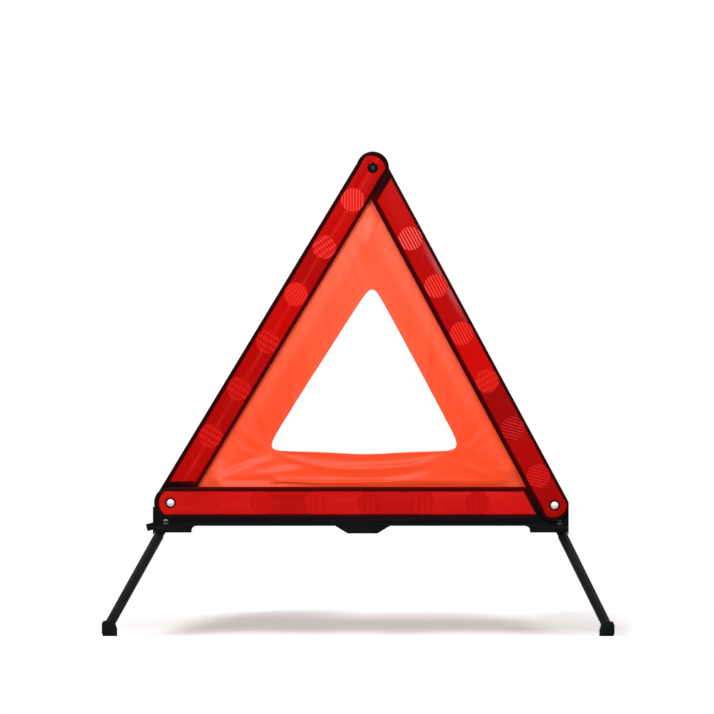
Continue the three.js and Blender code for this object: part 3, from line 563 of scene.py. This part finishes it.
for bar_name, bar in bars.items():
    dressed_node(f"{bar_name}_lens", bar["body"], [lens_red(f"{bar_name}_red_acrylic", bar)],
                 LENS_RADIUS, segments=3, from_angle=50, name=f"{bar_name}_lens_plate",
                 mark=functools.partial(mark_along, bar["place"]))

    discs = bmesh.new()
    tones = []
    for number, (turn, beaded, lit, deep) in enumerate(bar["discs"]):
        ribbed_disc(discs, bar, bar["first_disc"] + number * bar["disc_pitch"], turn, beaded, 2 * number)
        # Each disc gets a painted highlight red for its lit slopes and a painted shade red for its deep
        # slopes.
        tones.append(painted_light_disc_red(f"{bar_name}_disc_{number + 1}_lit", lit, roughness=(0.3, 0.45)))
        tones.append(painted_light_disc_red(f"{bar_name}_disc_{number + 1}_deep", deep, roughness=(0.35, 0.5)))
    finished_piece(f"{bar_name}_discs", discs, bar["body"], tones, smooth_angle=5)

    teeth = bmesh.new()
    cut_corners = []
    for way in (-1, 1):
        across = bar["middle"] + way * (LENS_HALF + LENS_GAP)
        cut_corners.append(Vector((cut_place(bar, across), across)))
        tooth_row(teeth, bar, Vector((TOOTH_START, across)), cut_corners[-1], Vector((0, -way)))
    slant = (cut_corners[1] - cut_corners[0]).normalized()
    tooth_row(teeth, bar, *cut_corners, Vector((-slant.y, slant.x)))
    bmesh.ops.recalc_face_normals(teeth, faces=teeth.faces)
    mark_along(bar["place"], teeth)
    finished_piece(f"{bar_name}_crimps", teeth, bar["body"], [bar["plastic"]])

# Rivets and screws: domed bright steel heads, with a thin dark ring round each, on which the side bars turn.
# Washers of black plastic fill the step to the bar behind. Smaller rivets of dark steel hold the legs,
# and slotted screws hold the housings and the rail.
SLOT_DEPTH = 0.0004
FACING_FRONT = -0.9


def worn_steel(name, colour, roughness):
    """Bright steel with fine scratches and dull spots."""
    return cloudy_finish(name, clouds=(0.0012, 4), blend=(0.0, 1.0), colours=(colour, duller(colour, 0.8)),
                         roughness=roughness, grain=(0.0004, 0.00002, 0.4), Metallic=1.0)


def painted_shade_slot(mesh):
    """Gives the floor of a screw's slot the second material, black plastic as painted shade in the slot."""
    head_front = min(vert.co.y for vert in mesh.verts)
    for face in mesh.faces:
        if face.normal.y < FACING_FRONT and face.calc_center_median().y > head_front + SLOT_DEPTH:
            face.material_index = 1


rivet_steel = worn_steel("polished_rivet_steel", (0.93, 0.9, 0.91), roughness=(0.16, 0.3))
screw_steel = worn_steel("blackened_screw_steel", (0.045, 0.045, 0.048), roughness=(0.35, 0.5))
# The housing screws' steel is a little paler than that of the other screws.
screw_face = worn_steel("paler_screw_steel", (0.085, 0.084, 0.086), roughness=(0.35, 0.5))

for side in ("left", "right"):
    dressed_node(f"{side}_pivot_rivet", "base", [rivet_steel], radius=0.0002, from_angle=60,
                 name=f"{side}_rivet_head")
    dressed_node(f"{side}_pivot_washer", "base", [rail_plastic], radius=0.0002)
    # The slot floor of each housing screw is black plastic, a painted shade.
    dressed_node(f"{side}_housing_screw", "base", [screw_face, rail_plastic], radius=0.00015,
                 shape=painted_shade_slot)
    for row in ("front", "rear"):
        dressed_node(f"{side}_{row}_leg_rivet", "base", [screw_steel], radius=0.0003)
for number in (1, 2, 3, 4):
    dressed_node(f"rail_screw_{number}", "base", [screw_steel], radius=0.00015)

# Snap at the apex: a stud on a springy black tab of the right bar is pressed into a ring in the left bar.
STUD_REACH = 0.0026
STUD_BASE_Y = -0.0035


def grey_stud(mesh):
    """Gives the front of the stud the second material."""
    centre = bars["right"]["place"] @ Vector((RIGHT_SPAN, 0, 0))
    for face in mesh.faces:
        middle = face.calc_center_median()
        if math.hypot(middle.x - centre.x, middle.z - centre.z) < STUD_REACH and middle.y < STUD_BASE_Y:
            face.material_index = 1


tab_plastic = black_plastic("smooth_black_plastic", ((0.012, 0.0012, 0.0018), (0.021, 0.0022, 0.003)),
                            roughness=(0.32, 0.48))
stud_grey = black_plastic("worn_stud_plastic", ((0.03, 0.016, 0.02), (0.07, 0.04, 0.05)),
                          roughness=(0.3, 0.4))
ring_black = black_plastic("glossy_ring_plastic", ((0.003, 0.001, 0.0015), (0.008, 0.002, 0.003)),
                           roughness=(0.2, 0.3))
dressed_node("snap_ring", "left_side", [ring_black], radius=0.0002)
snap_tab = dressed_node("snap_tab", "right_side", [tab_plastic, stud_grey], radius=0.0003,
                        mark=grey_stud)
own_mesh(snap_tab)

# Legs and feet: channels of pressed steel with a satin black paint, paler and greyer along the outer face.
# Each turns on its rivet under the housing, stops against the end wall, and ends in a black rubber foot.
LEG_LEANS = {"left": (-1, math.radians(29.5)), "right": (1, math.radians(26.2))}
PALE_STRIP = 0.0037


def satin_paint(name, colours):
    """Satin paint on steel, with cloudy scuffed patches and fine streaks."""
    return cloudy_finish(name, clouds=(0.012, 5), blend=(-0.5, 1.4), colours=colours, roughness=(0.35, 0.55),
                         grain=(0.0011, 0.00004, 0.4), Specular_IOR_Level=0.07)


def pale_outer_strip(way, lean, mesh):
    """Gives the strip along the leg's outer edge the second material."""
    outward = Vector((way * math.cos(lean), 0, math.sin(lean)))
    strip_start = max(vert.co.dot(outward) for vert in mesh.verts) - PALE_STRIP
    cut_at(mesh, outward * strip_start, outward, clear_outer=False)
    for face in mesh.faces:
        if face.calc_center_median().dot(outward) > strip_start:
            face.material_index = 1


leg_paints = [satin_paint("satin_black_paint", ((0.004, 0.0039, 0.0034), (0.0085, 0.0083, 0.0075))),
              satin_paint("paler_black_paint", ((0.0135, 0.013, 0.0115), (0.021, 0.0203, 0.018)))]
foot_rubber = cloudy_finish("moulded_black_rubber", clouds=(0.006, 4), blend=(-0.4, 1.2),
                            colours=((0.0035, 0.0045, 0.005), (0.0085, 0.009, 0.0095)),
                            roughness=(0.6, 0.85), grain=(0.0009, 0.00008, 0.5), Specular_IOR_Level=0.04)
for side in ("left", "right"):
    for support in (f"{side}_front", f"{side}_rear"):
        dressed_node(f"{support}_leg", f"{support}_support", leg_paints, radius=0.0003,
                     mark=functools.partial(pale_outer_strip, *LEG_LEANS[side]))
        dressed_node(f"{support}_foot", f"{support}_support", [foot_rubber], radius=0.0007,
                     segments=3)

# Orange panel: thin coated polyester with an open window, hemmed behind the three bars.
# It hangs a little slack, with soft creases from its lower left corner and along the base.
PANEL_STEPS = 130
PANEL_BANDS = 36
CLOTH_THICKNESS = 0.0005
HEM = 0.006
HEM_SHARPNESS = 60
WINDOW_SHARPNESS = 11
WINDOW_SAG = 0.003
WINDOW_CURL = 0.0009
CURL_WIDTH = 0.004
LEVEL_BAND = 0.009
STEEPEST = 0.5
HELD_BAND = 0.008
WAVES_ACROSS = 22
WAVES_UP = 30
WAVE_LAYER = 3.1
WAVE_HEIGHT = 0.0007

# Each side of the panel has its bar, the way it faces, the turn of the window's edge against it,
# the width of cloth left beside the window, and the way the bar leans.
CLOTH_SIDES = (
    {"bar": bars["left"], "pivot": LEFT_PIVOT, "outward": left_angle + math.pi / 2,
     "turn": math.radians(-1.5), "cloth": 0.0435, "rake": -1},
    {"bar": bars["bottom"], "pivot": LEFT_PIVOT, "outward": -math.pi / 2,
     "turn": 0.0, "cloth": 0.039, "rake": 0},
    {"bar": bars["right"], "pivot": RIGHT_PIVOT, "outward": math.pi / 2 - right_angle,
     "turn": 0.0, "cloth": 0.04, "rake": 1},
)
panel_middle = (LEFT_PIVOT + RIGHT_PIVOT + apex) / 3


def from_edge(side, spot):
    """How far inside a bar's inner edge a point lies."""
    pivot = side["pivot"]
    across = (spot.x - pivot.x) * math.cos(side["outward"]) + (spot.z - pivot.z) * math.sin(side["outward"])
    return -across - side["bar"]["shift"] - INNER_REACH


def corner_reach(angle, lines, sharpness):
    """The reach of a triangle with rounded corners in one direction from the panel's middle."""
    nearness = [max(0.0, math.cos(angle - towards) / distance) for towards, distance in lines]
    return sum(near ** sharpness for near in nearness) ** (-1 / sharpness)


hem_lines = []
window_lines = []
for side in CLOTH_SIDES:
    distance = from_edge(side, panel_middle)
    hem_lines.append((side["outward"], distance + HEM))
    window_lines.append((side["outward"] + side["turn"], distance - side["cloth"]))


def window_reach(angle):
    """How far the window's edge lies from the panel's middle. Its lower edge sags a little."""
    return corner_reach(angle, window_lines, WINDOW_SHARPNESS) + WINDOW_SAG * max(0.0, -math.sin(angle)) ** 4


def cloth_depth(spot):
    """The cloth runs evenly from just behind one bar to just behind the next."""
    levels = []
    for side in CLOTH_SIDES:
        lean = side["rake"] * (spot.z - side["pivot"].z) * math.sin(BAR_LEAN)
        back = side["bar"]["front"] + BAR_DEPTH + LAYER_GAP + lean
        levels.append((back, max(0.0, from_edge(side, spot) - LEVEL_BAND)))
    weights = [1 / (away + HEM) ** 2 for _, away in levels]
    even = sum(back * weight for (back, _), weight in zip(levels, weights)) / sum(weights)
    return max(even, *(back - STEEPEST * away for back, away in levels))


panel_mesh = bmesh.new()
rings = {"window": [], "hem": []}
for line, (towards, distance) in enumerate(hem_lines):
    ends = []
    for other, way in (((line + 2) % 3, -1), ((line + 1) % 3, 1)):
        turn = hem_lines[other][0] - towards
        ends.append(way * (hem_lines[other][1] - distance * math.cos(turn)) / abs(math.sin(turn)))
    for step in range(PANEL_STEPS):
        share = step / PANEL_STEPS
        eased = (share + (1 - math.cos(share * math.pi)) / 2) / 2
        angle = towards + math.atan2(ends[0] + (ends[1] - ends[0]) * eased, distance)
        reaches = {"window": window_reach(angle), "hem": corner_reach(angle, hem_lines, HEM_SHARPNESS)}
        for ring, reach in reaches.items():
            spot = (panel_middle.x + reach * math.cos(angle), 0, panel_middle.z + reach * math.sin(angle))
            rings[ring].append(panel_mesh.verts.new(spot))
for number, (window_vert, hem_vert) in enumerate(zip(rings["window"], rings["hem"])):
    panel_mesh.faces.new((rings["window"][number - 1], window_vert, hem_vert, rings["hem"][number - 1]))
spokes = [edge for edge in panel_mesh.edges if not edge.is_boundary]
bmesh.ops.subdivide_edges(panel_mesh, edges=spokes, cuts=PANEL_BANDS - 1, use_grid_fill=True)
flat_area = sum(face.calc_area() for face in panel_mesh.faces)
weave = panel_mesh.loops.layers.uv.new("cut")
for face in panel_mesh.faces:
    for loop in face.loops:
        loop[weave].uv = (loop.vert.co.x, loop.vert.co.z)

# Each crease of the panel is a soft ridge from one point to another, with its width and its rise.
CREASES = (
    ((-0.1600, 0.1627), (-0.0996, 0.2126), 0.0060, 0.0013),
    ((-0.1600, 0.1620), (-0.0757, 0.1887), 0.0055, 0.0012),
    ((-0.1381, 0.1650), (-0.0236, 0.1793), 0.0048, 0.0014),
    ((-0.0392, 0.1752), (0.0962, 0.1804), 0.0040, 0.0017),
    ((-0.0913, 0.1605), (0.0649, 0.1626), 0.0030, 0.0007),
    ((0.0441, 0.1635), (0.1535, 0.1600), 0.0030, 0.0007),
    ((-0.1413, 0.1814), (-0.0996, 0.2512), 0.0050, 0.0016),
    ((-0.1121, 0.2252), (-0.0600, 0.3137), 0.0040, 0.0013),
    ((-0.0705, 0.3033), (-0.0236, 0.3897), 0.0045, 0.0012),
    ((0.0983, 0.1814), (0.1482, 0.1648), 0.0045, 0.0012),
    ((0.0701, 0.3293), (0.1274, 0.2147), 0.0056, 0.0012),
)


def crease_height(spot):
    """The height of the soft creases at a point of the panel."""
    height = 0.0
    for start, end, width, rise in CREASES:
        run = Vector(end) - Vector(start)
        place = Vector((spot.x, spot.z)) - Vector(start)
        along = place.dot(run) / run.length_squared
        if 0 < along < 1:
            beside = (place - run * along).length / width
            fade = 4 * along * (1 - along)
            height += rise * fade * math.exp(-beside ** 2)
    return height


def freedom(spot):
    """How freely a point of the cloth can leave its flat place: not at all behind the bars."""
    near = min(from_edge(side, spot) for side in CLOTH_SIDES)
    return max(0.0, min(1.0, near / HELD_BAND))


# The orange is painted paler in a line along the side bars and beside the window, as a painted sheen, and
# grows paler towards the top.
SHEEN_LINE = 0.010
LINE_WIDTH = 0.006
WINDOW_WIDTH = 0.009
WINDOW_SHARE = 0.6
SHEEN_SHARE = 0.75
TOP_PALE_SHARE = 0.55
TOP_PALE_FROM = 0.22
TOP_PALE_HEIGHT = 0.16


def paling_at(spot, from_window):
    """How much paler the cloth is painted at a point, from 0 to 1: a painted sheen beside the side bars and
    the window, and paling towards the top.
    """
    from_sides = min(from_edge(CLOTH_SIDES[0], spot), from_edge(CLOTH_SIDES[2], spot))
    beside_bars = math.exp(-((from_sides - SHEEN_LINE) / LINE_WIDTH) ** 2)
    sheen_lines = beside_bars + WINDOW_SHARE * math.exp(-(from_window / WINDOW_WIDTH) ** 2)
    upper = max(0.0, min(1.0, (spot.z - TOP_PALE_FROM) / TOP_PALE_HEIGHT))
    return min(1.0, SHEEN_SHARE * sheen_lines * (1 - TOP_PALE_SHARE * (1 - upper)) + TOP_PALE_SHARE * upper)


# Each point holds how much paler the cloth is painted there: a painted sheen beside the bars and the window,
# and paling towards the top.
paling = panel_mesh.verts.layers.float.new("paling")
for vert in panel_mesh.verts:
    spot = vert.co.copy()
    from_middle = Vector((spot.x - panel_middle.x, spot.z - panel_middle.z))
    angle = math.atan2(from_middle.y, from_middle.x)
    from_window = from_middle.length - window_reach(angle)
    vert[paling] = paling_at(spot, from_window)
    waves = noise.noise(Vector((spot.x * WAVES_ACROSS, WAVE_LAYER, spot.z * WAVES_UP))) * WAVE_HEIGHT
    curl = WINDOW_CURL * max(0.0, 1 - from_window / CURL_WIDTH) ** 2 * max(0.0, -math.sin(angle))
    vert.co.y = cloth_depth(spot) + freedom(spot) * (waves - crease_height(spot) - curl)
panel_piece = finished_piece("orange_panel", panel_mesh, "base", [], smooth_angle=180)
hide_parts("fabric_panel")

# The cloth is cut a little too large, and finds its folds between its fixed hems in a short simulation.
SLACK = 0.004
SETTLE_FRAMES = 20
SETTLE_REACH = 0.002


def settle(piece):
    """Simulates the slack cloth, and keeps the folds that it finds in the mesh."""
    start = [vert.co.copy() for vert in piece.data.vertices]
    hem = piece.vertex_groups.new(name="hem")
    hem.add([vert.index for vert in piece.data.vertices if freedom(vert.co) == 0], 1.0, "REPLACE")
    cloth = piece.modifiers.new("slack", "CLOTH")
    cloth.settings.vertex_group_mass = "hem"
    cloth.settings.quality = 8
    cloth.settings.shrink_min = -SLACK
    cloth.settings.shrink_max = -SLACK
    cloth.settings.bending_stiffness = 1.5
    cloth.settings.air_damping = 3
    cloth.settings.effector_weights.gravity = 0.1
    cloth.collision_settings.use_collision = False
    for step in range(SETTLE_FRAMES):
        bpy.context.scene.frame_set(step + 1)
    settled = piece.evaluated_get(bpy.context.evaluated_depsgraph_get()).data
    moves = [vert.co - place for vert, place in zip(settled.vertices, start)]
    piece.modifiers.remove(cloth)
    bpy.context.scene.frame_set(1)
    piece.vertex_groups.remove(hem)
    for vert, move in zip(piece.data.vertices, moves):
        if move.length > SETTLE_REACH:
            move = move * (SETTLE_REACH / move.length)
        vert.co += move * freedom(vert.co)
    piece.data.update()


settle(panel_piece)

THREAD_PITCH = 0.0006
# The pale orange stands for the painted sheen and the paling towards the top.
PLAIN_ORANGE = (1.0, 0.068, 0.012)
PALE_ORANGE = (1.0, 0.13, 0.055)
THREAD_ORANGE = (0.95, 0.055, 0.008)


def coated_polyester(name):
    """Orange cloth with a fine plain weave, painted paler where a sheen is painted beside the bars and the
    window, and towards the top.
    """
    material, tree, shader = new_material(name, Roughness=0.38, Specular_IOR_Level=0.2)
    uv = add_node(tree, "ShaderNodeUVMap", uv_map="cut").outputs[0]
    warp = triangle_wave(tree, uv, THREAD_PITCH, 0)
    weft = triangle_wave(tree, uv, THREAD_PITCH, 90)
    threads = counted(tree, "MULTIPLY", warp, weft)
    paled_places = add_node(tree, "ShaderNodeAttribute", attribute_name="paling").outputs["Fac"]
    patchiness = between(tree, blotches(tree, size=0.05, detail=2), low=0.6, high=1.2)
    # The orange goes paler, in patches, where the sheen is painted and towards the top.
    paled_orange = mixed(tree, counted(tree, "MULTIPLY", paled_places, patchiness), PLAIN_ORANGE, PALE_ORANGE)
    woven = mixed(tree, between(tree, threads, low=0.0, high=0.2), paled_orange, THREAD_ORANGE)
    tree.links.new(woven, shader.inputs["Base Color"])
    raised(tree, shader, threads, depth=0.00008, strength=0.3)
    return material


panel_piece.data.materials.append(coated_polyester("coated_orange_polyester"))
panel_shell = panel_piece.modifiers.new("thickness", "SOLIDIFY")
panel_shell.thickness = CLOTH_THICKNESS
panel_shell.offset = -1 if panel_piece.data.polygons[0].normal.y < 0 else 1
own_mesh(panel_piece)

# Studio: a pale floor, flat under the feet, that falls away in front and rises behind, and a white surround.
# Two soft lamps in front and one behind light the object evenly.
FLOOR_PROFILE = (
    (-6.0, -0.012), (-0.36, -0.012), (-0.31, -0.0105), (-0.19, -0.001), (-0.16, 0.0),
    (0.15, 0.0), (0.17, 0.001), (0.33, 0.0245), (0.38, 0.0275), (6.0, 0.0275),
)
FLOOR_WIDTH = 12.0
FLOOR_GAP = 0.0002
SHADOW_REACH = 0.32
WHITE_FROM = 1.0
LIT_GREY = (0.85, 0.85, 0.85)
SEEN_WHITE = (1.9, 1.9, 1.9)
SURROUND_LIGHT = 0.2
LAMP_TARGET = Vector((0, 0, 0.25))
floor_mesh = bmesh.new()
floor_line = [floor_mesh.verts.new((-FLOOR_WIDTH / 2, y, z)) for y, z in FLOOR_PROFILE]
floor_edges = [floor_mesh.edges.new(ends) for ends in zip(floor_line, floor_line[1:])]
swept = bmesh.ops.extrude_edge_only(floor_mesh, edges=floor_edges)["geom"]
bmesh.ops.translate(floor_mesh, vec=(FLOOR_WIDTH, 0, 0), verts=only_verts(swept))
floor_data = bpy.data.meshes.new("studio_floor")
floor_mesh.to_mesh(floor_data)
floor_mesh.free()
floor_data.shade_smooth()
studio_floor = bpy.data.objects.new("studio_floor", floor_data)
studio_floor.location.z = -FLOOR_GAP
bpy.context.scene.collection.objects.link(studio_floor)


def pale_paint(name):
    """Pale paint that the camera sees as white away from the object's shadow."""
    material, tree, shader = new_material(name, Roughness=0.9, Specular_IOR_Level=0.0,
                                          Emission_Color=(1, 1, 1, 1))
    seen_directly = add_node(tree, "ShaderNodeLightPath").outputs["Is Camera Ray"]
    tree.links.new(mixed(tree, seen_directly, LIT_GREY, SEEN_WHITE), shader.inputs["Base Color"])
    place = add_node(tree, "ShaderNodeTexCoord").outputs["Object"]
    from_centre = add_node(tree, "ShaderNodeVectorMath", {0: place}, operation="LENGTH").outputs["Value"]
    far_away = share_of(tree, from_centre, SHADOW_REACH, WHITE_FROM)
    tree.links.new(counted(tree, "MULTIPLY", far_away, seen_directly), shader.inputs["Emission Strength"])
    return material


floor_data.materials.append(pale_paint("pale_floor"))

world = bpy.data.worlds.new("white_surround")
bpy.context.scene.world = world
world.use_nodes = True
world_tree = world.node_tree
rays = add_node(world_tree, "ShaderNodeLightPath")
seen = counted(world_tree, "MAXIMUM", rays.outputs["Is Camera Ray"], rays.outputs["Is Glossy Ray"])
seen = counted(world_tree, "MAXIMUM", seen, rays.outputs["Is Transmission Ray"])
surround = world_tree.nodes["Background"]
world_tree.links.new(between(world_tree, seen, SURROUND_LIGHT, 1.0), surround.inputs["Strength"])
surround.inputs["Color"].default_value = (1, 1, 1, 1)


def soft_lamp(name, spot, size, power):
    """A square soft lamp that faces the middle of the triangle."""
    data = bpy.data.lights.new(name, "AREA")
    data.size = size
    data.energy = power
    lamp = bpy.data.objects.new(name, data)
    lamp.location = spot
    lamp.rotation_euler = (LAMP_TARGET - Vector(spot)).to_track_quat("-Z", "Y").to_euler()
    lamp.visible_camera = False
    bpy.context.scene.collection.objects.link(lamp)


soft_lamp("key_lamp", (-0.5, -2.25, 1.4), size=0.4, power=31)
soft_lamp("fill_lamp", (0.55, -2.25, 1.3), size=0.4, power=17)
soft_lamp("back_lamp", (0.5, 2.4, 0.6), size=0.6, power=30)
bpy.context.scene.view_settings.view_transform = "Standard"
